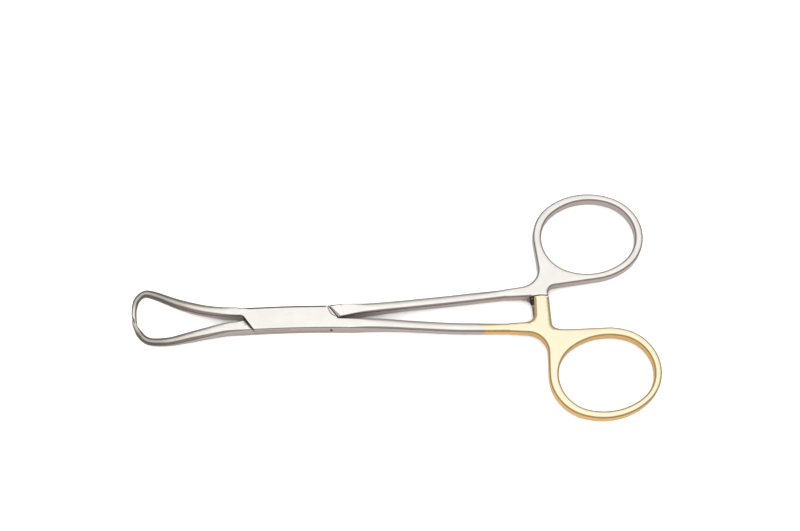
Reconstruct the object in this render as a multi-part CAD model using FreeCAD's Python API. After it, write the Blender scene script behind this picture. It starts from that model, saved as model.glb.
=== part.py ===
import FreeCAD, Part
import math
import os

Vector = FreeCAD.Vector

# A ring-handled towel clamp with a box lock, lying flat with its jaws closed.
# X runs from the jaw points to the finger rings, Z is up, and the pin of the
# box lock stands on the origin, with its lower end on the plane Z = 0.
# The slotted half has two cheeks, and the other half passes between them.

# Box lock
box_thickness = 4.0
box_width = 5.75
box_sweep = 0.45
cheek_reach = 9.0
cheek_end_run = 2.55
cheek_root_offset = 0.85
middle_thickness = 1.5
slide_clearance = 0.04
end_clearance = 0.1
front_shoulder_gap = 0.45
front_shoulder_offset = -0.3
rear_shoulder_gap = 0.55
shoulder_bevel = 0.6
slot_end_reach = 10.2
slot_drill = 0.6
pin_diameter = 2.0
pin_clearance = 0.03

# Jaws, as points on their middle lines: distance in front of the pin, offset
front_root_reach = 12.4
slotted_jaw_root_width = 2.2
through_jaw_root_width = 2.45
slotted_jaw_line = [(15.5, 2.3), (19.6, 3.0), (25.6, 4.6), (31.6, 7.2), (36.1, 8.75), (38.5, 7.2),
                    (39.1, 4.2), (39.0, 2.2), (38.85, 0.8)]
through_jaw_line = [(15.5, -1.85), (19.6, -2.45), (25.5, -3.5), (31.0, -4.35), (34.9, -4.1), (37.4, -2.3),
                    (38.6, -0.2), (39.1, 1.4), (39.4, 2.75)]
jaw_neck_width = 2.7
jaw_bow_width = 1.85
jaw_point_width = 1.3
jaw_root_inset = 0.03
jaw_neck_depth = 3.1
jaw_bow_depth = 2.1
jaw_point_depth = 1.5
point_crossing_offset = 1.3
point_bevel_angle = 60.0
point_gap = 0.1

# Shanks, as points on their middle lines: distance behind the pin, offset
rear_root_reach = 14.2
through_shank_line = [(20.5, 1.42), (28.5, 1.92), (40.7, 2.52)]
slotted_shank_line = [(20.5, -2.7), (28.2, -3.45), (40.1, -4.85)]
through_shank_end = 3.5
slotted_shank_end = -5.65
through_root_width = 3.1
through_root_offset = 1.2
slotted_root_width = 2.4
shank_width = 2.3
shank_depth = 2.85

# Finger rings and the webs that join them to the shanks
ring_length = 28.3
ring_height = 24.2
ring_end_share = 0.935
ring_side_band = 2.4
ring_long_band = 2.05
ring_depth = 3.1
ring_edge_radius = 0.65
ring_reach = 76.6
through_ring_near = 6.0
slotted_ring_near = 6.5
through_ring_tilt = 4.0
slotted_ring_tilt = -10.0
web_before_ring = 9.85
web_start_width = 2.45
web_shank_lap = 1.5
web_depth = 3.0
web_far_slope = 0.1
web_front_radius = 5.0
web_front_lean = 4.0
web_rear_lean = 5.5
web_step_root_share = 0.72
web_step_corner_share = 0.22
web_edge_radius = 0.5
web_bite = 0.1

# Ratchet bars, each half as deep as the rings, one over the other
bar_before_ring = 1.25
bar_width = 3.4
rack_overhang = 0.5
bar_root_radius = 2.2
bar_end_gap = 0.12
bar_top_inset = 0.04
tooth_pitch = 0.95
tooth_count = 4
tooth_height = 0.42
tooth_gap = 0.1

# How finely the smooth lines are laid out
limb_sections = 15

# Values that follow from the sizes above
middle_level = box_thickness / 2
cheek_end_reach = cheek_reach + cheek_end_run
through_ring_offset = ring_height / 2 + through_ring_near
slotted_ring_offset = ring_height / 2 + slotted_ring_near
ring_front_reach = ring_reach - ring_length / 2
web_start_reach = ring_front_reach - web_before_ring
bar_reach = ring_front_reach - bar_before_ring
bar_rear_reach = bar_reach + bar_width
outside = box_width


def wall(x, side):
    # Y of the box lock's long wall at x, which sweeps towards the slotted shank
    along = (x + cheek_reach) / (2 * cheek_reach)
    return side * box_width / 2 - box_sweep * along ** 2


def wall_point(x, side):
    return (x, wall(x, side))


def wall_arc(start, end, side):
    return [wall_point(start, side), wall_point((start + end) / 2, side), wall_point(end, side)]


def block(parts, low, high):
    # an upright block: each part of its outline is a corner, or an arc of three points
    edges = []
    runs = [[Vector(x, y, low) for x, y in part] for part in parts]
    for i, run in enumerate(runs):
        if len(run) == 3:
            edges.append(Part.Arc(*run).toShape())
        following = runs[(i + 1) % len(runs)][0]
        if run[-1].distanceToPoint(following) > 1e-6:
            edges.append(Part.makeLine(run[-1], following))
    return Part.Face(Part.Wire(edges)).extrude(Vector(0, 0, high - low))


def corner(x, y):
    return [(x, y)]


def rounded_section(centre, heading, width, depth, radius):
    # a rectangle with round corners, square to the heading, with its depth along Z
    across = Vector(-heading.y, heading.x, 0)
    half_width = width / 2 - radius
    half_depth = depth / 2 - radius
    arcs = []
    for side, level, start in ((1, 1, 0), (-1, 1, 90), (-1, -1, 180), (1, -1, 270)):
        points = []
        for turn in (start, start + 45, start + 90):
            angle = math.radians(turn)
            reach = side * half_width + radius * math.cos(angle)
            height = level * half_depth + radius * math.sin(angle)
            points.append(centre + across * reach + Vector(0, 0, height))
        arcs.append(points)
    edges = []
    for i, points in enumerate(arcs):
        edges.append(Part.Arc(*points).toShape())
        edges.append(Part.makeLine(points[-1], arcs[(i + 1) % len(arcs)][0]))
    return Part.Wire(edges)


def between(stops, place):
    # straight-line blend of the values at (place, value) stops
    for (start, low), (end, high) in zip(stops, stops[1:]):
        if place <= end:
            return low + (high - low) * (place - start) / (end - start)
    return stops[-1][1]


def limb(points, widths, depths, roundness):
    # one smooth tapering limb: rounded sections lofted along its middle line
    line = Part.BSplineCurve()
    line.interpolate([Vector(x, y, middle_level) for x, y in points])
    sections = []
    for i in range(limb_sections):
        share = i / (limb_sections - 1)
        place = line.FirstParameter + (line.LastParameter - line.FirstParameter) * share
        heading = line.tangent(place)[0]
        width = between(widths, share)
        depth = between(depths, share)
        radius = between(roundness, share) * min(width, depth) / 2
        sections.append(rounded_section(line.value(place), heading, width, depth, radius))
    return Part.makeLoft(sections, True, False)


def jaw(root_centre, line, root_width):
    # a jaw bows out from its root and turns in to a slim point
    start = (-front_root_reach + jaw_root_inset * 20, root_centre)
    points = [start] + [(-reach, offset) for reach, offset in line]
    widths = [(0, root_width - 2 * jaw_root_inset), (0.3, jaw_neck_width), (0.62, jaw_bow_width),
              (0.85, jaw_point_width), (1, jaw_point_width)]
    depths = [(0, box_thickness - 2 * jaw_root_inset), (0.35, jaw_neck_depth),
              (0.62, jaw_bow_depth), (0.85, jaw_point_depth), (1, jaw_point_depth)]
    roundness = [(0, 0.2), (0.3, 0.6), (0.6, 0.92), (1, 0.92)]
    return limb(points, widths, depths, roundness)


def point_bevel(side):
    # everything on one side of the slanted line where the two jaw points cross
    point_reach = slotted_jaw_line[-1][0]
    angle = math.radians(point_bevel_angle)
    along = Vector(-math.cos(angle), math.sin(angle), 0)
    away = Vector(-along.y, along.x, 0) * side
    middle = Vector(-point_reach, point_crossing_offset, 0) + away * (-point_gap / 2)
    reach = jaw_bow_width * 2.2
    ends = [middle - along * reach, middle + along * reach,
            middle + along * reach + away * reach, middle - along * reach + away * reach]
    return block([corner(p.x, p.y) for p in ends], 0, box_thickness)


def slotted_box():
    # full-depth block of the slotted half, with the open slot between its cheeks
    jaw_far = wall(-front_root_reach, 1)
    shank_near = wall(rear_root_reach, -1)
    body = block([
        wall_arc(-front_root_reach, cheek_reach, 1),
        corner(cheek_end_reach, -cheek_root_offset),
        corner(rear_root_reach, shank_near + slotted_root_width),
        wall_arc(rear_root_reach, -cheek_reach, -1),
        corner(-cheek_end_reach, cheek_root_offset),
        corner(-front_root_reach, jaw_far - slotted_jaw_root_width),
    ], 0, box_thickness)
    slot_half = middle_thickness / 2 + slide_clearance
    slot = block([
        [wall_point(-slot_end_reach, 1)],
        corner(-cheek_end_reach, cheek_root_offset),
        corner(-cheek_end_reach, -outside),
        corner(slot_end_reach, -outside),
        [wall_point(slot_end_reach, -1)],
        corner(cheek_end_reach, -cheek_root_offset),
        corner(cheek_end_reach, outside),
        corner(-slot_end_reach, outside),
    ], middle_level - slot_half, middle_level + slot_half)
    return body.cut([slot, slot_end_drill(1), slot_end_drill(-1), pin_bore(0)])


def slot_end_drill(side):
    # the small drilled hole that ends the slot in each long wall
    mouth = Vector(side * slot_end_reach, wall(side * slot_end_reach, -side), middle_level)
    root = Vector(side * cheek_end_reach, -side * cheek_root_offset, middle_level)
    inward = (root - mouth).normalize()
    start = mouth - inward * slot_drill + Vector(side * slot_drill / 4, 0, 0)
    return Part.makeCylinder(slot_drill / 2, slot_drill * 3, start, inward)


def pin_bore(clearance):
    return Part.makeCylinder(pin_diameter / 2 + clearance, box_thickness)


def bevelled(body, ends):
    # the same body with its upper and lower edge between two plan points bevelled
    middle = Vector((ends[0][0] + ends[1][0]) / 2, (ends[0][1] + ends[1][1]) / 2, 0)
    chosen = []
    for edge in body.Edges:
        centre = edge.CenterOfMass
        level = Vector(centre.x, centre.y, 0)
        flat = abs(edge.Vertexes[0].Z - edge.Vertexes[-1].Z) < 1e-6
        if flat and level.distanceToPoint(middle) < 1e-3:
            chosen.append(edge)
    return body.makeChamfer(shoulder_bevel, chosen)


def through_box():
    # two full-depth shoulders joined by the thin middle that fills the slot
    jaw_near = wall(-front_root_reach, -1)
    end_slope = cheek_end_run / (cheek_root_offset - wall(-cheek_reach, -1))
    top_rise = front_shoulder_offset - wall(-cheek_reach, -1)
    front_foot = wall_point(-cheek_reach - end_clearance, -1)
    front_top = (-cheek_reach - end_slope * top_rise - front_shoulder_gap, front_shoulder_offset)
    rear_top = wall_point(cheek_reach + rear_shoulder_gap, 1)
    rear_foot = (cheek_end_reach + rear_shoulder_gap, -cheek_root_offset + end_clearance)
    front = block([
        wall_arc(-front_root_reach, front_foot[0], -1),
        [front_top],
        corner(-front_root_reach, jaw_near + through_jaw_root_width),
    ], 0, box_thickness)
    shank_far = through_root_offset + through_root_width / 2
    rear = block([
        [rear_top],
        [rear_foot],
        corner(rear_root_reach, shank_far - through_root_width),
        corner(rear_root_reach, shank_far),
    ], 0, box_thickness)
    middle = block([
        [front_top],
        corner(-cheek_end_reach + end_clearance, cheek_root_offset - end_clearance),
        wall_arc(-slot_end_reach + end_clearance, rear_top[0], 1),
        [rear_foot],
        corner(cheek_end_reach - end_clearance, -cheek_root_offset + end_clearance),
        wall_arc(slot_end_reach - end_clearance, front_foot[0], -1),
    ], middle_level - middle_thickness / 2, middle_level + middle_thickness / 2)
    front = bevelled(front, (front_foot, front_top))
    rear = bevelled(rear, (rear_top, rear_foot))
    return middle.fuse([front, rear]).cut(pin_bore(pin_clearance))


def shank(root_offset, line, end_offset, root_width):
    # a shank tapers back from the box lock to the web of its ring
    start = (rear_root_reach - jaw_root_inset * 20, root_offset)
    end = (web_start_reach + web_shank_lap, end_offset)
    widths = [(0, root_width - 2 * jaw_root_inset), (0.25, shank_width), (1, shank_width)]
    depths = [(0, box_thickness - 2 * jaw_root_inset), (0.4, shank_depth), (1, shank_depth)]
    return limb([start] + line + [end], widths, depths, [(0, 0.2), (0.3, 0.45), (1, 0.5)])


def ring_arcs(side_inset, long_inset):
    # radii and centre distances of the four arcs of a ring's oval, and where they meet
    half_length = ring_length / 2 - side_inset
    half_height = ring_height / 2 - long_inset
    end_radius = half_height * ring_end_share
    end_centre = half_length - end_radius
    side_radius = ((end_radius ** 2 - end_centre ** 2 - half_height ** 2)
                   / (2 * (end_radius - half_height)))
    side_centre = side_radius - half_height
    change = math.degrees(math.atan2(side_centre, end_centre))
    return end_radius, end_centre, side_radius, side_centre, change


def ring_place(offset, tilt, turn, side_inset, long_inset):
    # the point of a ring's oval, or of one inside it, that faces a direction
    end_radius, end_centre, side_radius, side_centre, change = ring_arcs(side_inset, long_inset)
    cosine = math.cos(math.radians(turn))
    sine = math.sin(math.radians(turn))
    if abs(sine) < math.sin(math.radians(change)):
        long = end_radius * cosine + math.copysign(end_centre, cosine)
        high = end_radius * sine
    else:
        long = side_radius * cosine
        high = side_radius * sine - math.copysign(side_centre, sine)
    lean = math.radians(tilt)
    return Vector(ring_reach + long * math.cos(lean) - high * math.sin(lean),
                  offset + long * math.sin(lean) + high * math.cos(lean), 0)


def ring_line(offset, tilt, direction):
    # just inside a ring's outline where it faces a direction, and the way it runs there
    angle = math.radians(direction)
    place = ring_place(offset, tilt, direction - tilt, web_bite, web_bite)
    return place, Vector(-math.sin(angle), math.cos(angle), 0)


def crossing(start, heading, other, other_heading):
    # where two lines in plan meet
    cross = heading.x * other_heading.y - heading.y * other_heading.x
    gap = other - start
    return start + heading * ((gap.x * other_heading.y - gap.y * other_heading.x) / cross)


def rounded_corner(before, apex, after, radius):
    # the arc of a given radius that rounds the corner at apex, as three points
    towards = (before - apex).normalize()
    onwards = (after - apex).normalize()
    half = towards.getAngle(onwards) / 2
    run = radius / math.tan(half)
    bisector = (towards + onwards).normalize()
    deep = radius / math.sin(half) - radius
    return [apex + towards * run, apex + bisector * deep, apex + onwards * run]


def plan(points):
    return [(point.x, point.y) for point in points]


def oval_prism(offset, tilt, side_inset, long_inset, depth):
    # an upright prism, centred in height, on a ring's oval or on one inside it
    change = ring_arcs(side_inset, long_inset)[-1]
    outline = []
    for turns in ((-change, 0, change), (change, 90, 180 - change),
                  (180 - change, 180, 180 + change), (180 + change, 270, 360 - change)):
        outline.append(plan([ring_place(offset, tilt, turn, side_inset, long_inset)
                             for turn in turns]))
    return block(outline, middle_level - depth / 2, middle_level + depth / 2)


def ring(offset, tilt):
    # a flat band with its four edges rounded
    band = oval_prism(offset, tilt, 0, 0, ring_depth)
    band = band.cut(oval_prism(offset, tilt, ring_side_band, ring_long_band, box_thickness))
    rims = [edge for edge in band.Edges if edge.BoundBox.ZLength < 1e-3]
    return band.makeFillet(ring_edge_radius, rims)


def handle(offset, tilt, shank_end, tip, lower):
    # ring, web and ratchet bar of the half whose ring lies at positive Y
    near = shank_end - web_start_width / 2
    far = Vector(web_start_reach, shank_end + web_start_width / 2, 0)
    start = Vector(web_start_reach, near, 0)
    rear, rear_heading = ring_line(offset, tilt, 270 + web_rear_lean)
    front, front_heading = ring_line(offset, tilt, 180 + web_front_lean)
    front_apex = crossing(far, Vector(1, web_far_slope, 0), front, front_heading)
    inside = near + web_start_width / 2
    if lower:
        # a full-depth step carries the rack, and its rear side rounds into the web
        step = Vector(bar_rear_reach, near, 0)
        root = crossing(step, Vector(0, 1, 0), rear, rear_heading)
        rise = root.y - step.y
        near_side = [plan(rounded_corner(start, step, root, rise * web_step_corner_share)),
                     plan(rounded_corner(step, root, rear, rise * web_step_root_share))]
        bar_rear = [corner(bar_rear_reach, inside)]
    else:
        bend = Vector(bar_reach, near, 0)
        near_side = [plan([bend])]
        root = crossing(Vector(bar_rear_reach, tip, 0), Vector(0, 1, 0), bend, rear - bend)
        rear_arc = rounded_corner(rear, root, Vector(bar_rear_reach, tip, 0), bar_root_radius)
        bar_rear = [corner(rear_arc[0].x, rear_arc[0].y + web_start_width / 2), plan(rear_arc)]
    web = block([plan([start])] + near_side + [
        plan([rear]),
        plan([front]),
        plan(rounded_corner(front, front_apex, far, web_front_radius)),
        plan([far]),
    ], middle_level - web_depth / 2, middle_level + web_depth / 2)
    rims = [edge for edge in web.Edges
            if edge.BoundBox.ZLength < 1e-3 and edge.BoundBox.XMax > web_start_reach + 1e-3]
    web = web.makeFillet(web_edge_radius, rims)
    web = web.cut(oval_prism(offset, tilt, ring_side_band / 2, ring_long_band / 2, box_thickness))
    return ring(offset, tilt).fuse([web, ratchet_bar(near, tip, inside, bar_rear, lower)])


def mirrored(body):
    return body.mirror(Vector(0, 0, 0), Vector(0, 1, 0))


def ratchet_bar(root, tip, inside, bar_rear, lower):
    # a toothed bar from one web to the other shank, half as deep as the web
    front = bar_reach - rack_overhang if lower else bar_reach
    half_depth = web_depth / 2 - bar_top_inset
    low = middle_level - half_depth if lower else middle_level + tooth_gap / 2
    high = middle_level - tooth_gap / 2 if lower else middle_level + half_depth
    bar = block([
        plan(rounded_corner(Vector(front, tip, 0), Vector(front, root, 0),
                            Vector(web_start_reach, root, 0), bar_root_radius)),
        corner(front - bar_root_radius, inside),
    ] + bar_rear + [
        corner(bar_rear_reach, tip),
        corner(front, tip),
    ], low, high)
    level = high if lower else low
    deep = -tooth_height if lower else tooth_height
    notches = []
    for i in range(tooth_count):
        start = tip + tooth_pitch * (i + 0.3)
        profile = [Vector(front - bar_width, start, level),
                   Vector(front - bar_width, start + tooth_pitch, level),
                   Vector(front - bar_width, start + tooth_pitch, level + deep)]
        notch = Part.Face(Part.makePolygon(profile + profile[:1]))
        notches.append(notch.extrude(Vector(bar_width * 3, 0, 0)))
    return bar.cut(notches)


def slotted_half():
    # upper jaw, cheeks, lower shank, its ring and the upper ratchet bar
    jaw_root = wall(-front_root_reach, 1) - slotted_jaw_root_width / 2
    shank_root = wall(rear_root_reach, -1) + slotted_root_width / 2
    tip = bar_end_gap + web_start_width / 2 - through_shank_end
    return slotted_box().fuse([
        jaw(jaw_root, slotted_jaw_line, slotted_jaw_root_width).cut(point_bevel(1)),
        shank(shank_root, slotted_shank_line, slotted_shank_end, slotted_root_width),
        mirrored(handle(slotted_ring_offset, slotted_ring_tilt, -slotted_shank_end, tip, False)),
    ])


def through_half():
    # lower jaw, thin middle, upper shank, its ring and the lower ratchet bar
    jaw_root = wall(-front_root_reach, -1) + through_jaw_root_width / 2
    tip = slotted_shank_end + web_start_width / 2 + bar_end_gap
    return through_box().fuse([
        jaw(jaw_root, through_jaw_line, through_jaw_root_width).cut(point_bevel(-1)),
        shank(through_root_offset, through_shank_line, through_shank_end, through_root_width),
        handle(through_ring_offset, through_ring_tilt, through_shank_end, tip, True),
    ])


def box_lock_pin():
    # a rivet headed over and ground flush with both cheeks
    return pin_bore(0)


os.makedirs("parts", exist_ok=True)
for name, make in (("slotted_half", slotted_half), ("through_half", through_half),
                   ("box_lock_pin", box_lock_pin)):
    shape = make()
    shape.exportStep("parts/" + name + ".step")
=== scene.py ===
import bpy
import math
import numpy as np
from mathutils import Matrix, Vector, geometry


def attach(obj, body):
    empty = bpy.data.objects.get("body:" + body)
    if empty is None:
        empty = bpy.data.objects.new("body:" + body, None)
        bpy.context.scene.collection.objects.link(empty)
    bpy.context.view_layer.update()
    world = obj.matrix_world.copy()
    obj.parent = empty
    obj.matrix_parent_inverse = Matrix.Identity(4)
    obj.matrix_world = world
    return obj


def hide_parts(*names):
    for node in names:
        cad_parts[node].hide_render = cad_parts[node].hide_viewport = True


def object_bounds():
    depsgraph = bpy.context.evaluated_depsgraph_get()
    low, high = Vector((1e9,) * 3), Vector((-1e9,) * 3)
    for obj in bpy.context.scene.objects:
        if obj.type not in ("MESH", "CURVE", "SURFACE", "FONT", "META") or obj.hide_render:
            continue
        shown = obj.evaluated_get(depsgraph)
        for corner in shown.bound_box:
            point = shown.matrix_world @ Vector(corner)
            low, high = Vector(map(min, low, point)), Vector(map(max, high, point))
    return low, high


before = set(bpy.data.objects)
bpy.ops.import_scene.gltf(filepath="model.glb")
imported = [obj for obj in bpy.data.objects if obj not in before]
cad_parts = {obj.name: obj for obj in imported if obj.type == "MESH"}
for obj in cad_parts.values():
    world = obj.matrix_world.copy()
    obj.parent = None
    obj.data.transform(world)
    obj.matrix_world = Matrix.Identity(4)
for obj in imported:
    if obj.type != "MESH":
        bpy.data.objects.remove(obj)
cad_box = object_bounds()


# Through half
# One forging: lower jaw, thin middle in the box lock, upper shank, finger ring with its web, and rack.
# Stainless steel, forged, ground and satin finished; it turns on the pin between the other half's cheeks.

# sizes are in millimetres: x behind the pin, y towards the upper ring, z from the middle plane
mid_level = round(500 * (cad_box[0][2] + cad_box[1][2]), 3)
point_spacing = 0.35
arc_spacing = 0.25
wall_spacing = 0.4


def spline(points):
    # smooth curve through points, laid out at an even spacing
    nodes = [np.array(p, float) for p in points]
    nodes = [2 * nodes[0] - nodes[1]] + nodes + [2 * nodes[-1] - nodes[-2]]
    curve = []
    for a, b, c, d in zip(nodes, nodes[1:], nodes[2:], nodes[3:]):
        steps = max(2, round(float(np.linalg.norm(c[:2] - b[:2])) / point_spacing))
        for i in range(steps):
            t = i / steps
            curve.append(0.5 * (2 * b + (c - a) * t + (2 * a - 5 * b + 4 * c - d) * t ** 2
                                + (3 * b - a - 3 * c + d) * t ** 3))
    curve.append(nodes[-2])
    return curve


def straight(start, end):
    steps = max(1, round(math.dist(start[:2], end[:2]) / point_spacing))
    return [(start[0] + (end[0] - start[0]) * i / steps, start[1] + (end[1] - start[1]) * i / steps)
            for i in range(steps + 1)]


def smoothstep(x, low, high):
    t = min(max((x - low) / (high - low), 0), 1)
    return t * t * (3 - 2 * t)


def ramp(x, stops):
    # value at x of a smooth run through (x, value) stops
    for (a, low), (b, high) in zip(stops, stops[1:]):
        if x <= b:
            return low + (high - low) * smoothstep(x, a, b)
    return stops[-1][1]


def half_depth(x):
    # half of the forging's thickness along its length
    return ramp(x, [(-38.5, 0.72), (-36.5, 0.95), (-30.5, 1.12), (-23, 1.5), (-12.4, 1.985), (14.5, 1.985),
                    (30, 1.44), (52, 1.42), (63, 1.53), (92, 1.54)])


# edge kinds, seen in section
ROUND, FLAT, HOLLOW = range(3)


def edged(points, run, fall, kind):
    # points of a loop with an edge of their own: its width in plan, its height and its kind
    return [(x, y, run, fall, kind) for x, y in points]


# rounding of a limb's edges: its height to its width, and how much wider and lower it is on the shanks' left
rounding_height = 1.25
deepest_rounding = 0.95
crown_widening = 0.9
crown_lowering = 0.58


def limb_edges(line):
    # left and right edge of a limb; each point of its middle line has x, y, width and the share of that
    # width which the edge rounding takes
    middle = np.array(spline(line))
    along = np.gradient(middle[:, :2], axis=0)
    along /= np.linalg.norm(along, axis=1)[:, None]
    across = np.stack([-along[:, 1], along[:, 0]], 1) * middle[:, 2:3] / 2
    run = middle[:, 3] * middle[:, 2]
    fall = np.minimum(run * rounding_height, [deepest_rounding * half_depth(x) for x in middle[:, 0]])
    crown = np.array([smoothstep(x, 15, 22) - smoothstep(x, 45, 54) for x in middle[:, 0]])
    right = np.stack([run, fall, run * ROUND], 1)
    left = np.stack([run * (1 + crown_widening * crown), fall * (1 - crown_lowering * crown), run * ROUND], 1)
    return [[tuple(p) for p in np.hstack([middle[:, :2] + across, left])],
            [tuple(p) for p in np.hstack([middle[:, :2] - across, right])]]


def rounded(before, apex, after, radius):
    # arc that rounds the corner at apex
    before, apex, after = Vector(before), Vector(apex), Vector(after)
    towards, onwards = (before - apex).normalized(), (after - apex).normalized()
    half = towards.angle(onwards) / 2
    centre = apex + (towards + onwards).normalized() * radius / math.sin(half)
    first = apex + towards * radius / math.tan(half) - centre
    last = apex + onwards * radius / math.tan(half) - centre
    turn = first.angle_signed(last)
    steps = max(3, round(abs(turn) * radius / arc_spacing))
    points = []
    for i in range(steps + 1):
        spot = centre + Matrix.Rotation(-turn * i / steps, 2) @ first
        points.append((spot.x, spot.y))
    return points


def meet(a, a_way, b, b_way):
    # where the line through a meets the line through b
    cross = a_way[0] * b_way[1] - a_way[1] * b_way[0]
    t = ((b[0] - a[0]) * b_way[1] - (b[1] - a[1]) * b_way[0]) / cross
    return (a[0] + a_way[0] * t, a[1] + a_way[1] * t)


def heading(degrees):
    return (math.cos(math.radians(degrees)), math.sin(math.radians(degrees)))


# rings and their webs
ring_reach = 76.6
ring_half_length = 14.14
ring_half_height = 12.09
ring_end_share = 0.935
ring_step_degrees = 1.6
web_start = 54.2
web_start_width = 2.4
web_front_slope = 0.1
web_front_radius = 5.0
web_front_turn = 184
web_rear_turn = 275.5
web_rear_heading = 5.5


def oval_point(direction, offset, tilt, inset):
    # point of a ring's four-arc oval that faces a direction; inset says how far the oval is taken in at
    # its ends and its sides, and how far it is moved back
    half_length, half_height = ring_half_length - inset[0], ring_half_height - inset[1]
    end = half_height * ring_end_share
    end_centre = half_length - end
    side = (end ** 2 - end_centre ** 2 - half_height ** 2) / (2 * (end - half_height))
    turn = math.radians(direction - tilt)
    cosine, sine = math.cos(turn), math.sin(turn)
    if abs(sine) < math.sin(math.atan2(side - half_height, end_centre)):
        long, high = end * cosine + math.copysign(end_centre, cosine), end * sine
    else:
        long, high = side * cosine, side * sine - math.copysign(side - half_height, sine)
    lean = math.radians(tilt)
    return (ring_reach + inset[2] + long * math.cos(lean) - high * math.sin(lean),
            offset + long * math.sin(lean) + high * math.cos(lean))


def oval_run(first, last, oval):
    steps = round(abs(last - first) / ring_step_degrees)
    return [oval_point(first + (last - first) * i / steps, *oval) for i in range(steps + 1)]


def handle_outline(near_edge, far, oval):
    # web and outside of a ring: out along the near edge, round the ring and back along the far edge, whose
    # y at the web's start is far
    front = oval_point(web_front_turn, *oval)
    apex = meet((web_start, far), (1, web_front_slope), front, heading(web_front_turn + 90))
    run = near_edge + straight(near_edge[-1], oval_point(web_rear_turn, *oval))[1:]
    run += oval_run(web_rear_turn, web_front_turn + 360, oval)[1:]
    arc = rounded(front, apex, (web_start, far), web_front_radius)
    run += straight(run[-1], arc[0])[1:] + arc[1:]
    return run + straight(run[-1], (web_start, far))[1:]


# box lock
lock_half_width = 3.05
lock_offset = 0.03
lock_bow = 0.45


def wall(x, side):
    # long wall of the box lock, slightly bowed
    return side * lock_half_width + lock_offset - lock_bow * ((x + 9) / 18) ** 2


def wall_run(start, end, side):
    steps = max(2, round(abs(end - start) / wall_spacing))
    return [(start + (end - start) * i / steps, wall(start + (end - start) * i / steps, side))
            for i in range(steps + 1)]


lock_reach = 13
far_bevel_slope = 0.86
near_rounding = 0.28
sharp_rounding = 0.16


def steel_edges(x, y):
    # width, height and kind of the edges where a loop's points have none of their own
    if -lock_reach < x < lock_reach:
        bevel = ramp(x, [(-12.6, 0.26), (-9.5, 0.66), (9, 0.66), (12.8, 0.24)])
        return (bevel, bevel * far_bevel_slope, FLAT) if y > 0 else (near_rounding, near_rounding, ROUND)
    run = ramp(x, [(12, 0.2), (20, 0.5), (30, 0.62), (52, 0.64), (60, 0.6), (66, 0.57), (92, 0.57)])
    if 60.6 < x < 64.6 and 2.3 < y < 3:
        # the upper web is sharper beside the bar
        run = sharp_rounding
    return run, run, ROUND


# slanted line where the jaw points cross: a point of it, the way across it, and where it begins to count
crossing = (-39.05, 1.3)
crossing_across = (0.866, 0.5)
crossing_gap = 0.04
crossing_front = -36.6
crossing_join = -37


def scarf_cut(points, shift, keep_left):
    # part of a jaw's edge on one side of the crossing
    kept, before = [], None
    for point in points:
        across = ((point[0] - crossing[0] + shift) * crossing_across[0]
                  + (point[1] - crossing[1]) * crossing_across[1])
        good = point[0] > crossing_front or (across < 0) == keep_left
        if before and before[2] != good and point[0] < crossing_join:
            share = before[1] / (before[1] - across)
            kept.append(tuple(a + (b - a) * share for a, b in zip(before[0], point)))
        if good:
            kept.append(point)
        before = (point, across, good)
    return kept


def tidy_loop(points):
    # the loop without points that all but coincide
    smallest_gap = 0.02
    kept = [points[0]]
    for p in points[1:]:
        if math.dist(p[:2], kept[-1][:2]) > smallest_gap:
            kept.append(p)
    if math.dist(kept[0][:2], kept[-1][:2]) < smallest_gap:
        kept.pop()
    return kept


def inside(points, loop):
    # even-odd test of many points against one loop
    x, y = points[:, 0], points[:, 1]
    hit = np.zeros(len(points), bool)
    for (x0, y0), (x1, y1) in zip(loop, np.roll(loop, -1, 0)):
        if y0 != y1:
            spans = (y0 > y) != (y1 > y)
            hit ^= spans & (x < (x1 - x0) * (y - y0) / (y1 - y0) + x0)
    return hit


# rows of points on the flats
row_spacing = 0.6
row_step = 0.7
rim_clearance = 0.3


def flat_faces(rims, depth, verts):
    # triangles of both flats between the rims, over staggered rows of points that are added to verts
    def on_flat(points):
        hit = inside(points, rims[0][0])
        for plan, upper, lower in rims[1:]:
            hit &= ~inside(points, plan)
        return hit

    spots = [Vector(p) for plan, upper, lower in rims for p in plan]
    tops = [i for plan, upper, lower in rims for i in upper]
    bottoms = [i for plan, upper, lower in rims for i in lower]
    edges, start = [], 0
    for plan, upper, lower in rims:
        edges += [(start + i, start + (i + 1) % len(plan)) for i in range(len(plan))]
        start += len(plan)
    border = np.array([tuple(p) for p in spots])
    low, high = rims[0][0].min(0), rims[0][0].max(0)
    grid = np.array([(x + row_step / 2 * (row % 2), y)
                     for row, y in enumerate(np.arange(low[1], high[1], row_spacing))
                     for x in np.arange(low[0], high[0], row_step)])
    for x, y in grid[on_flat(grid)]:
        if np.min(np.sum((border - (x, y)) ** 2, 1)) > rim_clearance ** 2:
            spots.append(Vector((x, y)))
            tops.append(len(verts))
            verts.append((x, y, depth(x)))
            bottoms.append(len(verts))
            verts.append((x, y, -depth(x)))
    places, _, triangles, origins, _, _ = geometry.delaunay_2d_cdt(spots, edges, [], 1, 1e-6)
    centres = np.array([[sum(places[i][k] for i in t) / 3 for k in (0, 1)] for t in triangles])
    faces = []
    for triangle, good in zip(triangles, on_flat(centres)):
        if good and all(origins[i] for i in triangle):
            a, b, c = (origins[i][0] for i in triangle)
            if (spots[b] - spots[a]).cross(spots[c] - spots[a]) < 0:
                b, c = c, b
            faces.append((tops[a], tops[b], tops[c]))
            faces.append((bottoms[a], bottoms[c], bottoms[b]))
    return faces


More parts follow.
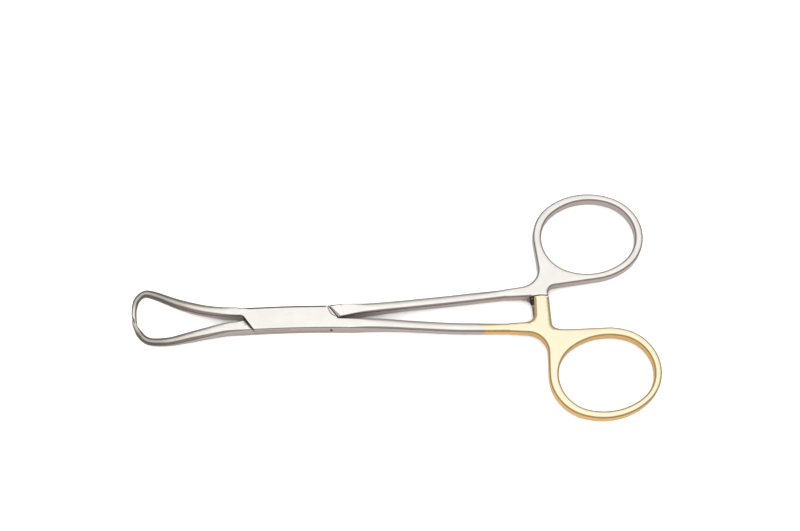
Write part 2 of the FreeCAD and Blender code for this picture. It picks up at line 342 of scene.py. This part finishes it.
def forge(name, loops, edge_size, depth, steps=6):
    # closed forging from loops in plan, first the outside, then its holes; points without an edge of their
    # own take it from edge_size
    verts, faces, rims = [], [], []
    angles = [90 - 90 * i / steps for i in range(steps + 1)]
    levels = [(a, 1) for a in angles] + [(a, -1) for a in reversed(angles)]
    for number, points in enumerate(loops):
        points = tidy_loop(points)
        loop = np.array([p[:2] for p in points])
        area = np.sum(loop[:, 0] * np.roll(loop[:, 1], -1) - loop[:, 1] * np.roll(loop[:, 0], -1))
        if (area > 0) != (number == 0):
            points, loop = points[::-1], loop[::-1]
        before, after = loop - np.roll(loop, 1, 0), np.roll(loop, -1, 0) - loop
        before /= np.linalg.norm(before, axis=1)[:, None]
        after /= np.linalg.norm(after, axis=1)[:, None]
        way = before + after
        way /= np.linalg.norm(way, axis=1)[:, None]
        inward = np.stack([-way[:, 1], way[:, 0]], 1)
        stretch = 1 / np.maximum(0.5, np.abs(np.sum(way * before, 1)))
        sizes = np.array([edge_size(*p) if len(p) < 3 else p[2:] for p in points])
        kinds = sizes[:, 2].astype(int)
        rings = []
        for angle, side in levels:
            rise, reach = math.sin(math.radians(angle)), 1 - math.cos(math.radians(angle))
            share = np.choose(kinds, (reach, angle / 90, rise))
            lift = np.choose(kinds, (rise, angle / 90, reach))
            plan = loop + inward * (sizes[:, 0] * share * stretch)[:, None]
            start = len(verts)
            for (x, y), fall, up in zip(plan, sizes[:, 1], lift):
                verts.append((x, y, side * (depth(x) - fall + fall * up)))
            rings.append(range(start, start + len(loop)))
        for upper, lower in zip(rings, rings[1:]):
            for i in range(len(loop)):
                j = (i + 1) % len(loop)
                faces.append((upper[i], lower[i], lower[j], upper[j]))
        rims.append((plan, rings[0], rings[-1]))
    faces += flat_faces(rims, depth, verts)
    mesh = bpy.data.meshes.new(name)
    mesh.from_pydata([(x / 1000, y / 1000, (z + mid_level) / 1000) for x, y, z in verts], [], faces)
    piece = bpy.data.objects.new(name, mesh)
    bpy.context.collection.objects.link(piece)
    return piece


crisp_corner = math.radians(38)


def finish_edges(piece):
    # smooth shading with crisp corners, weighted so that flats stay flat
    bpy.context.view_layer.objects.active = piece
    bpy.ops.object.select_all(action="DESELECT")
    piece.select_set(True)
    bpy.ops.object.shade_smooth_by_angle(angle=crisp_corner)
    weights = piece.modifiers.new("weights", "WEIGHTED_NORMAL")
    weights.keep_sharp = True
    bpy.ops.object.modifier_apply(modifier="weights")


def join(pieces):
    bpy.ops.object.select_all(action="DESELECT")
    for piece in pieces:
        piece.select_set(True)
    bpy.context.view_layer.objects.active = pieces[0]
    bpy.ops.object.join()
    return pieces[0]


# lower jaw, with the shoulder that meets the front of the cheeks; points have x, y, width, rounded share
through_jaw_line = [
    (-12.3, -1.9, 2.5, 0.1), (-15.5, -1.86, 2.62, 0.2), (-19.6, -2.46, 2.75, 0.32), (-25.5, -3.55, 2.6, 0.42),
    (-29, -4.2, 2.3, 0.45), (-31.5, -4.4, 2.12, 0.46), (-34.45, -4.2, 1.95, 0.46), (-36.1, -3.5, 1.85, 0.46),
    (-37.4, -2.2, 1.7, 0.45), (-38.28, -0.6, 1.5, 0.42), (-38.9, 1.0, 1.2, 0.38), (-39.2, 2.2, 0.8, 0.36),
    (-39.05, 3.0, 0.6, 0.36)]
outer_root = -14.4
inner_root = -13.2
shoulder_bevel = 0.26
shoulder_bevel_height = 0.2
outer, inner = limb_edges(through_jaw_line)
outer = [p for p in outer if p[0] < outer_root]
inner = [p for p in inner if p[0] < inner_root]
shoulder_far, shoulder_near = (-11.31, -0.38), (-9.22, wall(-9.22, -1))
jaw_loop = wall_run(shoulder_near[0], -11.2, -1) + scarf_cut(outer, crossing_gap, True)
jaw_loop += scarf_cut(inner, crossing_gap, True)[::-1] + [(-12.3, -0.45), (-11.7, -0.36)]
jaw_loop += edged(straight(shoulder_far, shoulder_near)[:-1], shoulder_bevel, shoulder_bevel_height, FLAT)
through_jaw = forge("through_jaw", [jaw_loop], steel_edges, half_depth)

# upper shank, web and ring; the shoulder behind the cheeks has a bevel that widens towards the inside, and
# each oval has its offset from the pin, its tilt in degrees and its inset
through_shank_line = [
    (14.2, 1.18, 3.1, 0.07), (17.5, 1.32, 2.6, 0.16), (20.5, 1.42, 2.38, 0.24), (25.5, 1.72, 2.3, 0.27),
    (31.5, 2.05, 2.3, 0.28), (40.65, 2.56, 2.3, 0.28), (48, 3.05, 2.32, 0.28),
    (web_start, 3.5, web_start_width, 0.3)]
through_oval = (18.1, 4.0, (0, 0, 0))
through_hole = (18.0, 8.0, (2.06, 1.86, 0.05))
web_near = 3.5 - web_start_width / 2
web_rear = 64.9
web_rear_radius = 1.9
web_step_radius = 0.3
ring_root = oval_point(web_rear_turn, *through_oval)
web_root = meet((web_rear, web_near), (0, 1), ring_root, heading(web_rear_heading))
near_edge = straight((web_start, web_near), (60.2, web_near))
near_edge += spline([(60.5, web_near + 0.01), (61.4, web_near + 0.1), (62.9, web_near + 0.2),
                     (64.2, web_near + 0.05)])
near_edge += rounded((64.2, web_near + 0.05), (web_rear, web_near - 0.15), web_root, web_step_radius)
near_edge += rounded((web_rear, web_near), web_root, ring_root, web_rear_radius)
shoulder_far, shoulder_near = (9.55, wall(9.55, 1)), (12.1, -0.78)
bevel_start = (0.15, 0.12)
bevel_growth = (0.5, 0.16)
shoulder = []
for x, y in straight(shoulder_far, shoulder_near):
    share = min(max((x - shoulder_far[0]) / (shoulder_near[0] - shoulder_far[0]), 0), 1)
    shoulder.append((x, y, bevel_start[0] + bevel_growth[0] * share,
                     bevel_start[1] + bevel_growth[1] * share, FLAT))
shank_far, shank_near = limb_edges(through_shank_line)
shank_loop = shoulder[-1:] + [(12.6, -0.66)] + shank_near[2:]
shank_loop += handle_outline(near_edge, web_near + web_start_width, through_oval)[1:]
shank_loop += shank_far[::-1][1:] + straight(shank_far[0], shoulder_far)[1:-1] + shoulder[:-1]
through_handle = forge("through_handle", [shank_loop, oval_run(0, 360, through_hole)[:-1]],
                       steel_edges, half_depth)

# thin middle, which runs through the slot between the cheeks
middle_half_depth = 0.75
middle_bevel = 0.12
middle_loop = [(-11.75, -0.3), (-11.4, 0.72)] + wall_run(-9.85, 9.8, 1) + [(12.0, -0.75), (11.4, -0.74)]
middle_loop += wall_run(9.85, -9.3, -1)
through_middle = forge("through_middle", [middle_loop], lambda x, y: (middle_bevel, middle_bevel, FLAT),
                       lambda x: middle_half_depth, 2)

# rack: the lower of the two toothed bars
bar_half_depth = 0.7
tooth_pitch = 0.95
tooth_height = 0.42
tooth_start = 0.3
tooth_count = 4
rack_front = 60.7
rack_rear = 64.55
rack_tip = -4.28
rack_root = 3.2
rack_front_radius = 2.2
rack_rounding = 0.25
rack_rounding_height = 0.3
rack_drop = 0.76
rack_slope_start = 61.2
rack_slope_limit = 1.1


def tooth_depth(along):
    # how deep a saw tooth is cut, at a distance from a bar's tip
    tooth = along / tooth_pitch - tooth_start
    return tooth_height * (tooth % 1) if 0 < tooth < tooth_count else 0


rack_loop = rounded((rack_front, rack_tip), (rack_front, web_near), (52, web_near), rack_front_radius)
rack_loop += [(58.5, rack_root), (rack_rear, rack_root)]
rack_loop += straight((rack_rear, rack_root), (rack_rear, rack_tip))
rack_loop += straight((rack_rear, rack_tip), (rack_front, rack_tip))[1:]
rack_loop += straight((rack_front, rack_tip), rack_loop[0])[1:-1]
rack = forge("through_rack", [rack_loop], lambda x, y: (rack_rounding, rack_rounding_height, ROUND),
             lambda x: bar_half_depth)
for vert in rack.data.vertices:
    # the rack lies low, and its top slopes down where it comes out in front of the other bar
    above, before = vert.co.z - mid_level / 1000, rack_slope_start / 1000 - vert.co.x
    front_slope = min(rack_slope_limit / 1000, max(0, above) * max(0, before) * 1000)
    vert.co.z -= rack_drop / 1000 + front_slope
    if vert.co.z * 1000 > mid_level - 0.3:
        vert.co.z -= tooth_depth(vert.co.y * 1000 - rack_tip) / 1000

through = join([through_jaw, through_handle, through_middle, rack])
through.name = "through_half_forging"
finish_edges(through)


def colour_mix(tree, factor, a, b, blend="MIX"):
    # each of factor, a and b is a value or another node's output
    node = tree.nodes.new("ShaderNodeMix")
    node.data_type = "RGBA"
    node.blend_type = blend
    for socket, source in (("Factor", factor), ("A", a), ("B", b)):
        if isinstance(source, bpy.types.NodeSocket):
            tree.links.new(source, node.inputs[socket])
        else:
            node.inputs[socket].default_value = (*source, 1) if isinstance(source, tuple) else source
    return node.outputs["Result"]


def rescaled(tree, value, low, high, to_low=0.0, to_high=1.0, easing="LINEAR"):
    node = tree.nodes.new("ShaderNodeMapRange")
    node.interpolation_type = easing
    for socket, number in (("From Min", low), ("From Max", high), ("To Min", to_low), ("To Max", to_high)):
        node.inputs[socket].default_value = number
    tree.links.new(value, node.inputs["Value"])
    return node.outputs["Result"]


def one_axis(tree, vector, axis):
    node = tree.nodes.new("ShaderNodeSeparateXYZ")
    tree.links.new(vector, node.inputs["Vector"])
    return node.outputs[axis]


def noise(tree, place, scale, detail, roughness=0.5):
    node = tree.nodes.new("ShaderNodeTexNoise")
    node.inputs["Scale"].default_value = scale
    node.inputs["Detail"].default_value = detail
    node.inputs["Roughness"].default_value = roughness
    tree.links.new(place, node.inputs["Vector"])
    return node.outputs["Fac"]


# grain of the ground metals and their painted light, in metres: the scratches run lengthwise, a part of the
# bow is darkened with painted shade, and flats take painted light
scratch_scale = 5200
scratch_turn = math.radians(62)
scratch_stretch = 0.06
scratch_height = 0.00004
mottle_scale = 160
bow_middle = (-0.0389, 0.0018, 0.002)
bow_reach = 0.021
# faces at least this upright take the flats' painted light, steeper ones the walls' painted shade
painted_light_from = 0.84


def grain_and_painted_light_group():
    # grain and painted light shared by the ground metals: Mottle and Scratches as masks, a painted shade that
    # darkens
    #  the jaws' bow, a painted-light mask where a face lies flat (walls and edges keep a painted shade), and
    #  the scratched Normal
    group = bpy.data.node_groups.new("ground_grain_and_painted_light", "ShaderNodeTree")
    nodes, links = group.nodes, group.links
    outcome = nodes.new("NodeGroupOutput")
    place = nodes.new("ShaderNodeTexCoord").outputs["Object"]
    stretch = nodes.new("ShaderNodeMapping")
    stretch.inputs["Rotation"].default_value = (0, 0, scratch_turn)
    stretch.inputs["Scale"].default_value = (scratch_stretch, 1, 1)
    links.new(place, stretch.inputs["Vector"])
    scratches = noise(group, stretch.outputs["Vector"], scratch_scale, 6, 0.7)
    bump = nodes.new("ShaderNodeBump")
    bump.inputs["Distance"].default_value = scratch_height
    bump.inputs["Strength"].default_value = 0.22
    links.new(scratches, bump.inputs["Height"])
    reach = nodes.new("ShaderNodeVectorMath")
    reach.operation = "DISTANCE"
    reach.inputs[1].default_value = bow_middle
    links.new(place, reach.inputs[0])
    # painted shade: a ramp on the distance from bow_middle darkens part of the jaws' bow
    shade = nodes.new("ShaderNodeValToRGB")
    shade.color_ramp.interpolation = "EASE"
    shade.color_ramp.elements[0].color = (1, 1, 1, 1)
    for position, grey in ((0.1, 0.98), (0.24, 0.55), (0.42, 0.52), (0.56, 0.7), (0.7, 0.86)):
        shade.color_ramp.elements.new(position).color = (grey, grey * 0.975, grey * 0.955, 1)
    links.new(rescaled(group, reach.outputs["Value"], 0.0, bow_reach), shade.inputs["Fac"])
    # painted light mask: 1 on faces that lie flat, 0 on walls and edges
    upright = nodes.new("ShaderNodeMath")
    upright.operation = "ABSOLUTE"
    surface = nodes.new("ShaderNodeNewGeometry")
    links.new(one_axis(group, surface.outputs["Normal"], "Z"), upright.inputs[0])
    painted_light_on_flats = rescaled(group, upright.outputs["Value"], painted_light_from, 1.0, easing="SMOOTHSTEP")
    for name, kind, source in (("Mottle", "Float", noise(group, place, mottle_scale, 4)),
                               ("Scratches", "Float", scratches),
                               ("Bow", "Color", shade.outputs["Color"]),
                               ("PaintedLightOnFlats", "Float", painted_light_on_flats),
                               ("Normal", "Vector", bump.outputs["Normal"])):
        group.interface.new_socket(name, in_out="OUTPUT", socket_type="NodeSocket" + kind)
        links.new(source, outcome.inputs[name])
    return group


def metal(name, dull, bright, shaded_sides, roughness, gilt_from=None, gilt_shaded_sides=None, gilt_lit_flats=None):
    # ground metal, mottled from dull to bright, with a darker colour painted on walls and edges as shade; it
    # is gold plated
    #  beyond gilt_from millimetres along X, with its gold flats paled as a painted highlight
    material = bpy.data.materials.new(name)
    material.use_nodes = True
    tree = material.node_tree
    shader = tree.nodes["Principled BSDF"]
    shader.inputs["Metallic"].default_value = 1.0
    # the group node gives the grain and also the painted light and shade masks
    grain = tree.nodes.new("ShaderNodeGroup")
    grain.node_tree = ground_grain_and_painted_light
    tone = colour_mix(tree, grain.outputs["Mottle"], dull, bright)
    # painted light and shade: flats take the mottled tone, walls and edges the darker shaded colour
    colour = colour_mix(tree, grain.outputs["PaintedLightOnFlats"], shaded_sides, tone)
    if gilt_from is not None:
        # gold: deep on walls and edges, paled on the flats as a painted highlight
        gilt = colour_mix(tree, grain.outputs["PaintedLightOnFlats"], gilt_shaded_sides, gilt_lit_flats)
        along = one_axis(tree, tree.nodes.new("ShaderNodeTexCoord").outputs["Object"], "X")
        plated = rescaled(tree, along, (gilt_from - 0.5) / 1000, (gilt_from + 0.5) / 1000)
        colour = colour_mix(tree, plated, colour, gilt)
    # multiply by the painted shade over part of the jaws' bow
    colour = colour_mix(tree, 1.0, colour, grain.outputs["Bow"], "MULTIPLY")
    tree.links.new(colour, shader.inputs["Base Color"])
    worn = rescaled(tree, grain.outputs["Scratches"], 0.0, 1.0, *roughness)
    tree.links.new(worn, shader.inputs["Roughness"])
    tree.links.new(grain.outputs["Normal"], shader.inputs["Normal"])
    return material


ground_grain_and_painted_light = grain_and_painted_light_group()
# dull and bright tones, the darker painted shade for walls and edges, and the roughness range
steel_tones_and_painted_shade = ((0.79, 0.77, 0.745), (0.98, 0.96, 0.935), (0.63, 0.605, 0.59), (0.17, 0.27))
# dark steel that paints shade into the box lock's slanted ends, the slot, the rack under the other bar and
# the thin middle's front flats
recess_shade = metal("recess_painted_shade", (0.10, 0.085, 0.07), (0.2, 0.17, 0.145), (0.09, 0.08, 0.07), (0.5, 0.7))
worn_floor = metal("worn_recess_floor", (0.86, 0.83, 0.79), (0.98, 0.96, 0.93), (0.6, 0.57, 0.55), (0.5, 0.6))
satin = metal("satin_steel", *steel_tones_and_painted_shade)
for look in (satin, recess_shade, worn_floor):
    through.data.materials.append(look)


def slanted_ends(piece, way, low, high):
    # upright faces that look one way between two X positions
    return [face for face in piece.data.polygons
            if low < face.center.x * 1000 < high and abs(face.normal.z) < 0.5
            and face.normal.x * way[0] + face.normal.y * way[1] > 0.8]


# the slanted ends of the box lock look to the rear or to the front
rearward = (0.81, 0.59)
forward = (-0.81, -0.59)
# the slanted ends in the box lock's gaps take the dark recess steel: painted shade
for face in slanted_ends(through, rearward, -12.3, -9) + slanted_ends(through, forward, 9, 12.7):
    face.material_index = 1
for face in through.data.polygons:
    # painted shade on the rack under the other bar, then on both flats of the thin middle in front of the
    # pin; behind it they are worn where the rear gap shows them
    x, y, z = face.center * 1000
    if x > 60.3 and 0.5 < y < 2.2 and 1 < z < 2.05:
        face.material_index = 1
    if -12 < x < 13 and abs(z - mid_level) < 0.8 and abs(face.normal.z) > 0.5:
        face.material_index = 1 if x < 0 else 2
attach(through, "through")
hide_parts("through_half")


# Slotted half
# One forging: upper jaw, both cheeks of the box lock, lower shank, finger ring with its web, and upper bar.
# Satin stainless steel; ring, web and bar are gold plated from just in front of the web.

slotted_jaw_line = [
    (-12.3, 2.05, 2.2, 0.12), (-15.1, 2.3, 2.42, 0.22), (-18.1, 2.72, 2.6, 0.34), (-22.6, 3.72, 2.8, 0.43),
    (-27.1, 5.2, 2.6, 0.46), (-30.15, 6.5, 2.3, 0.46), (-33.2, 7.9, 2.12, 0.46), (-35.1, 8.62, 2.0, 0.46),
    (-36.3, 8.8, 1.9, 0.46), (-37.5, 8.35, 1.75, 0.46), (-38.4, 7.3, 1.6, 0.45), (-38.85, 6.1, 1.5, 0.44),
    (-39.08, 4.2, 1.35, 0.42), (-39.0, 2.4, 1.3, 0.4), (-38.8, 1.0, 1.15, 0.38), (-38.55, -0.4, 1.0, 0.36)]
slotted_shank_line = [
    (14.2, -2.54, 2.64, 0.09), (17.3, -2.63, 2.68, 0.16), (20.3, -2.8, 2.64, 0.22), (25.2, -3.2, 2.54, 0.26),
    (31.2, -3.87, 2.4, 0.28), (40.1, -4.83, 2.32, 0.28), (47, -5.3, 2.32, 0.28),
    (web_start, -5.65, web_start_width, 0.3)]
jaw_root = -12.6
inner, outer = limb_edges(slotted_jaw_line)
inner = [p for p in inner if p[0] < jaw_root]
outer = [p for p in outer if p[0] < jaw_root]
shank_far, shank_near = limb_edges(slotted_shank_line)

# web and ring, drawn as if they were the upper ones and then turned over
slotted_oval = (18.72, -10.0, (0.22, 0.37, 0.22))
slotted_hole = (18.9, -10.0, (2.3, 2.44, 0.5))
web_near = 5.65 - web_start_width / 2
near_edge = straight((web_start, web_near), (58, web_near))
near_edge += spline([(59, web_near), (61.2, web_near + 0.4), (64.6, web_near + 1.5), (66.1, web_near + 2.15),
                     (67.8, web_near + 2.42), (70.2, web_near + 2.5), (73, web_near + 2.52)])
handle = [(x, -y) for x, y in handle_outline(near_edge, web_near + web_start_width, slotted_oval)]
ring_hole = [(x, -y) for x, y in oval_run(0, 360, slotted_hole)[:-1]]

# slanted ends of the cheeks; the rear one has a hollow ground facet in the shape of a lens
facet_edge = 0.1
facet_width = 0.66
facet_depth = 0.22
front_end = straight((-11.5, 0.7), (-9.0, wall(-9.0, -1)))
rear_end_near, rear_end_far = (11.7, -0.76), (9.25, wall(9.25, 1))
facet = []
for x, y in straight(rear_end_near, rear_end_far)[:-1]:
    share = (x - rear_end_far[0]) / (rear_end_near[0] - rear_end_far[0])
    bulge = math.sin(math.pi * share ** 1.25)
    facet.append((x, y, facet_edge + facet_width * bulge, facet_depth, HOLLOW))

slotted_loop = wall_run(-12.4, rear_end_far[0], 1)[::-1]
slotted_loop += scarf_cut(outer, -crossing_gap, False) + scarf_cut(inner, -crossing_gap, False)[::-1]
slotted_loop += [(-12.4, 0.98)] + edged([(-11.75, 0.86)] + front_end[:-1], facet_edge, facet_edge, ROUND)
slotted_loop += front_end[-1:]
slotted_loop += wall_run(-9.0, 14.2, -1)[1:] + shank_near[1:] + handle[::-1][1:-1] + shank_far[::-1]
slotted_loop += [(13.0, -1.14), (12.0, -1.02)] + facet
slotted = forge("slotted_half_forging", [slotted_loop, ring_hole], steel_edges, half_depth)

# the slot between the cheeks, open through both long walls, and the drilled hole at each end of it
slot_half_depth = 0.79
slot_reach = 13.5
slot_side = 6
fork = (11.55, 0.85)
drill_reach = 10.2
drill_radius = 0.38
drill_depth = 3.0
slot_plan = [(-drill_reach, wall(-drill_reach, 1)), (-fork[0], fork[1]), (-slot_reach, fork[1]),
             (-slot_reach, -slot_side), (drill_reach, -slot_side), (drill_reach, wall(drill_reach, -1)),
             (fork[0], -fork[1]), (slot_reach, -fork[1]), (slot_reach, slot_side), (-drill_reach, slot_side)]
count = len(slot_plan)
mesh = bpy.data.meshes.new("slot")
mesh.from_pydata([(x / 1000, y / 1000, (mid_level + z) / 1000) for z in (-slot_half_depth, slot_half_depth)
                  for x, y in slot_plan], [],
                 [tuple(range(count))[::-1], tuple(range(count, 2 * count))]
                 + [(i, (i + 1) % count, count + (i + 1) % count, count + i) for i in range(count)])
slot = bpy.data.objects.new("slot", mesh)
bpy.context.collection.objects.link(slot)
cutters = [slot]
for side in (1, -1):
    spot = (side * drill_reach / 1000, wall(side * drill_reach, -side) / 1000, mid_level / 1000)
    bpy.ops.mesh.primitive_cylinder_add(vertices=24, radius=drill_radius / 1000, depth=drill_depth / 1000,
                                        location=spot, rotation=(math.radians(90), 0, 0))
    cutters.append(bpy.context.object)
slotted.data.materials.append(satin)
slotted.data.materials.append(recess_shade)
# the cut faces of the slot and the drilled holes take the dark recess steel: painted shade inside them
for cutter in cutters:
    cutter.data.materials.append(recess_shade)
    cut = slotted.modifiers.new("cut", "BOOLEAN")
    cut.operation = "DIFFERENCE"
    cut.solver = "EXACT"
    cut.object = cutter
    cut.material_mode = "TRANSFER"
    bpy.context.view_layer.objects.active = slotted
    bpy.ops.object.modifier_apply(modifier="cut")
    bpy.data.objects.remove(cutter)

# upper bar: front corner with the web, a root buried under the web, rear corner and rounded tip
bar_front = 61.2
bar_rear = 64.95
bar_tip = 2.2
bar_near = -web_near
bar_lift = 0.84
bar_front_radius = 2.3
bar_rear_radius = 1.5
tip_rear_radius = 0.35
tip_front_radius = 0.3
tip_bevel = (0.12, 0.1)
side_bevel = (0.6, 0.27)
bar_loop = rounded((bar_front, bar_tip), (60.86, bar_near), (52, bar_near), bar_front_radius)
bar_loop += [(59.4, -5.6), (60.4, -6.5), (64.2, -7.9), (66.6, -7.7), (67.3, -7.0), (66.4, -6.72)]
bar_loop += rounded((66.4, -6.72), (bar_rear, -6.1), (64.9, bar_tip), bar_rear_radius)
bar_loop += straight(bar_loop[-1], (bar_rear, bar_tip - 0.65))[1:]
bar_loop += rounded((bar_rear, 0), (64.92, bar_tip - 0.1), (63, bar_tip + 0.2), tip_rear_radius)
bar_loop += [(63.7, bar_tip + 0.1), (63, bar_tip + 0.17), (62.3, bar_tip + 0.12)]
bar_loop += rounded((63, bar_tip + 0.17), (bar_front, bar_tip - 0.05), (bar_front, 0), tip_front_radius)
bar_loop += straight(bar_loop[-1], bar_loop[0])[1:-1]


def bar_edges(x, y):
    # broad bevels along the bar, a narrow one round its tip
    return (*(tip_bevel if y > bar_tip - 0.25 else side_bevel), FLAT)


bar = forge("slotted_bar", [bar_loop], bar_edges, lambda x: bar_half_depth)
for vert in bar.data.vertices:
    vert.co.z += bar_lift / 1000
    if vert.co.z * 1000 < mid_level + 0.3:
        vert.co.z += tooth_depth(bar_tip - vert.co.y * 1000) / 1000
bar.data.materials.append(satin)
slotted = join([slotted, bar])
finish_edges(slotted)
gilt_start = 48.0
gilt_deep = (1.0, 0.71, 0.29)
# the pale gold is a painted highlight for the gilt flats
gilt_painted_highlight = (0.975, 0.89, 0.665)
gilded = metal("satin_steel_gilt_ring", *steel_tones_and_painted_shade, gilt_start, gilt_deep, gilt_painted_highlight)
slotted.data.materials[0] = gilded
# the cheeks' slanted ends take the dark recess steel: painted shade in the gaps
for face in slanted_ends(slotted, forward, -12, -8.8) + slanted_ends(slotted, rearward, 8.8, 12):
    face.material_index = 1
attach(slotted, "slotted")
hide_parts("slotted_half")


# Pin of the box lock
# A steel rivet through both cheeks and the thin middle, headed over and ground flush on both sides.

pin_radius = 1.0
pin_half_length = 1.9858
pin_edge = (0.003, 0.001, ROUND)
pin_loop = [(pin_radius * math.cos(math.radians(a)), pin_radius * math.sin(math.radians(a)))
            for a in range(0, 360, 7)]
pin = forge("box_lock_pin_rivet", [pin_loop], lambda x, y: pin_edge, lambda x: pin_half_length, 2)
finish_edges(pin)
pin.data.materials.append(satin)
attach(pin, "slotted")
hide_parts("box_lock_pin")


# Stage
# Seamless white table top, a soft overhead light and a dim room round it.

# sizes from here on are in metres
floor_reach = 2.0
floor_level = -0.0001
mirrored_near = 0.0035
mirrored_far = 0.009
room_light = 2.1
mirrored_light = 1.07
overhead = (0, 0.087, 0.996)
mesh = bpy.data.meshes.new("floor")
mesh.from_pydata([(x * floor_reach, y * floor_reach, floor_level)
                  for x, y in ((-1, -1), (1, -1), (1, 1), (-1, 1))], [], [(0, 1, 2, 3)])
floor = bpy.data.objects.new("floor", mesh)
bpy.context.collection.objects.link(floor)
paper = bpy.data.materials.new("white_paper")
paper.use_nodes = True
tree = paper.node_tree
paper_shader = tree.nodes["Principled BSDF"]
paper_shader.inputs["Roughness"].default_value = 0.9
paper_shader.inputs["Specular IOR Level"].default_value = 0.1
rays = tree.nodes.new("ShaderNodeLightPath").outputs
# the steel mirrors a dimmer table than the camera sees, and the darker the further off it is
away = rescaled(tree, rays["Ray Length"], mirrored_near, mirrored_far, easing="SMOOTHSTEP")
mirrored = colour_mix(tree, away, (0.47, 0.42, 0.405), (0.10, 0.085, 0.075))
table = colour_mix(tree, rays["Is Glossy Ray"], (0.95, 0.95, 0.95), mirrored)
tree.links.new(table, paper_shader.inputs["Base Color"])
floor.data.materials.append(paper)

world = bpy.data.worlds.new("studio")
bpy.context.scene.world = world
world.use_nodes = True
tree = world.node_tree
backdrop = tree.nodes["Background"]
rays = tree.nodes.new("ShaderNodeLightPath").outputs
facing = tree.nodes.new("ShaderNodeVectorMath")
facing.operation = "DOT_PRODUCT"
facing.inputs[1].default_value = overhead
tree.links.new(tree.nodes.new("ShaderNodeTexCoord").outputs["Generated"], facing.inputs[0])
# the room that the steel mirrors, from below up to the overhead light
sky = tree.nodes.new("ShaderNodeValToRGB")
sky.color_ramp.interpolation = "B_SPLINE"
sky_stops = [(0.0, (0.42, 0.375, 0.34)), (0.45, (0.29, 0.255, 0.225)), (0.67, (0.27, 0.235, 0.205)),
             (0.81, (0.46, 0.43, 0.405)), (0.89, (0.89, 0.87, 0.845)), (0.955, (1, 0.985, 0.965))]
while len(sky.color_ramp.elements) < len(sky_stops):
    sky.color_ramp.elements.new(0.5)
for element, (position, colour) in zip(sky.color_ramp.elements, sky_stops):
    element.position = position
    element.color = (*colour, 1)
tree.links.new(facing.outputs["Value"], sky.inputs["Fac"])
lit = colour_mix(tree, rays["Is Glossy Ray"], (1, 1, 1), sky.outputs["Color"])
tree.links.new(lit, backdrop.inputs["Color"])
power = rescaled(tree, rays["Is Glossy Ray"], 0.0, 1.0, room_light, mirrored_light)
tree.links.new(power, backdrop.inputs["Strength"])


# Camera
# The photograph's angle: 66 degrees down, turned 3.2 degrees, 335 mm from the pin.

camera_turn = math.radians(3.2)
camera_fall = math.radians(66)
camera_distance = 0.335
aim_right = 0.027375
aim_up = 0.013425
lens = bpy.data.cameras.new("camera")
lens.lens = 60.3
lens.sensor_width = 36
lens.clip_start = 0.01
camera = bpy.data.objects.new("camera", lens)
bpy.context.collection.objects.link(camera)
right = Vector((math.cos(camera_turn), -math.sin(camera_turn), 0))
back = Vector((-math.cos(camera_fall) * math.sin(camera_turn),
               -math.cos(camera_fall) * math.cos(camera_turn), math.sin(camera_fall)))
up = back.cross(right)
camera.matrix_world = Matrix((right, up, back)).transposed().to_4x4()
camera.location = right * aim_right + up * aim_up + back * camera_distance + Vector((0, 0, mid_level / 1000))
bpy.context.scene.camera = camera
bpy.context.scene.view_settings.view_transform = "Standard"
